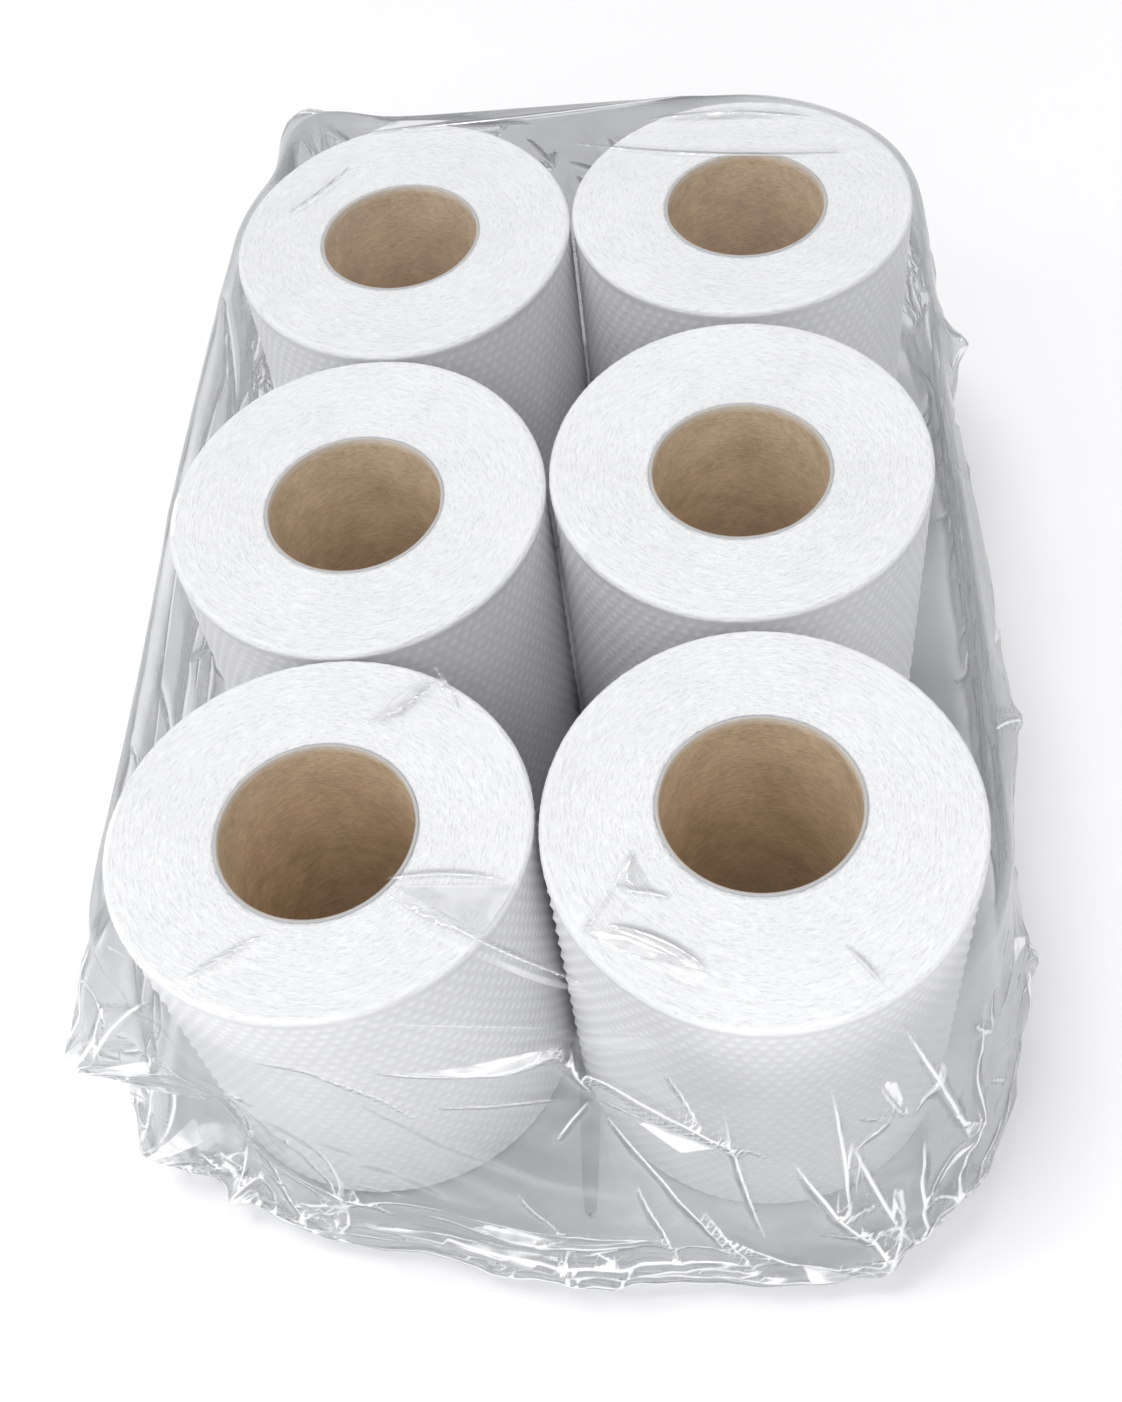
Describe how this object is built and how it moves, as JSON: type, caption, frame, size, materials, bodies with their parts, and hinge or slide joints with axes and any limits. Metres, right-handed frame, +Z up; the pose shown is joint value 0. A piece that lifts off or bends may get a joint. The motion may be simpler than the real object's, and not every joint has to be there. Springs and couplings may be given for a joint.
{
  "type": "toilet paper roll pack",
  "caption": "Toilet tissue rolls on card cores, standing on end side by side inside a closed clear film wrap that widens towards the floor.",
  "frame": {"origin": "on the floor that the pack stands on, under the middle of the film wrap's box", "axes": "+Z up along the rolls' axes, +Y from the front of the pack to its back along its longer side, +X to its right"},
  "size_m": [0.2276, 0.3332, 0.1026],
  "materials": {
    "clear_film": "clear glossy film, creased",
    "tissue": "matt embossed tissue",
    "core_card": "matt brown card"
  },
  "bodies": {
    "root": {"film_wrap": "clear_film", "tissue_front_left": "tissue", "core_front_left": "core_card", "tissue_front_right": "tissue", "core_front_right": "core_card", "tissue_middle_left": "tissue", "core_middle_left": "core_card", "tissue_middle_right": "tissue", "core_middle_right": "core_card", "tissue_back_left": "tissue", "core_back_left": "core_card", "tissue_back_right": "tissue", "core_back_right": "core_card"}
  },
  "joints": []
}
